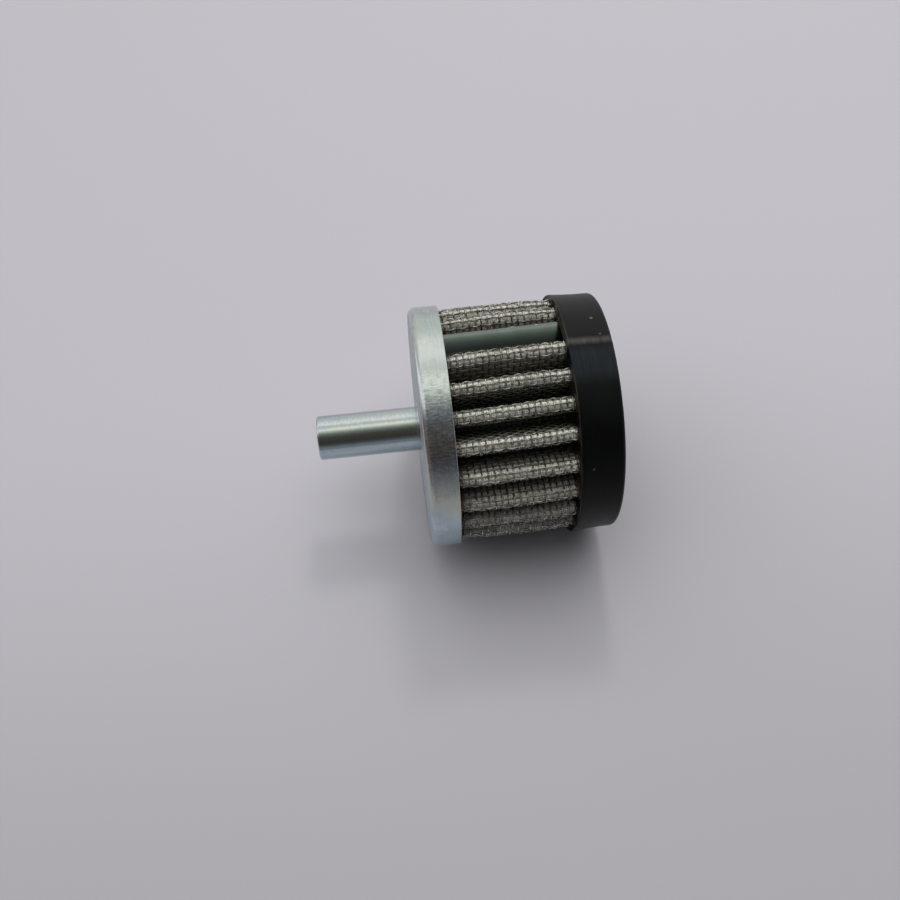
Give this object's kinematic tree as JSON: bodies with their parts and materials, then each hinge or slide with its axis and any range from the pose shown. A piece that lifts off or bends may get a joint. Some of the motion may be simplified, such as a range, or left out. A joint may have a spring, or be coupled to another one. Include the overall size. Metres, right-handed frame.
{
  "type": "crankcase breather filter",
  "caption": "Small round push-in breather filter: steel cup with a plain tube, pleated wire and gauze element with a seam clip, moulded rubber end cap.",
  "frame": {"origin": "centre of the end cap's flat face, on which the filter stands", "axes": "+Z along the filter's axis towards the tube; -Y is the side that faces the picture's camera, with the seam clip turned from it towards +X"},
  "size_m": [0.0518, 0.0518, 0.0612],
  "materials": {
    "zinc_cup": "satin zinc plate",
    "zinc_tube": "bright zinc plate",
    "adhesive": "set amber adhesive",
    "wire_cloth": "woven plated wire",
    "cotton_gauze": "loose cotton gauze",
    "clip_sheet": "smooth grey-green plate",
    "black_rubber": "satin moulded rubber"
  },
  "bodies": {
    "root": {"base_cup": "zinc_cup", "inlet_tube": "zinc_tube", "base_potting": "adhesive", "outer_screen": "wire_cloth", "gauze": "cotton_gauze", "inner_screen": "wire_cloth", "seam_clip": "clip_sheet", "end_cap": "black_rubber"}
  },
  "joints": []
}
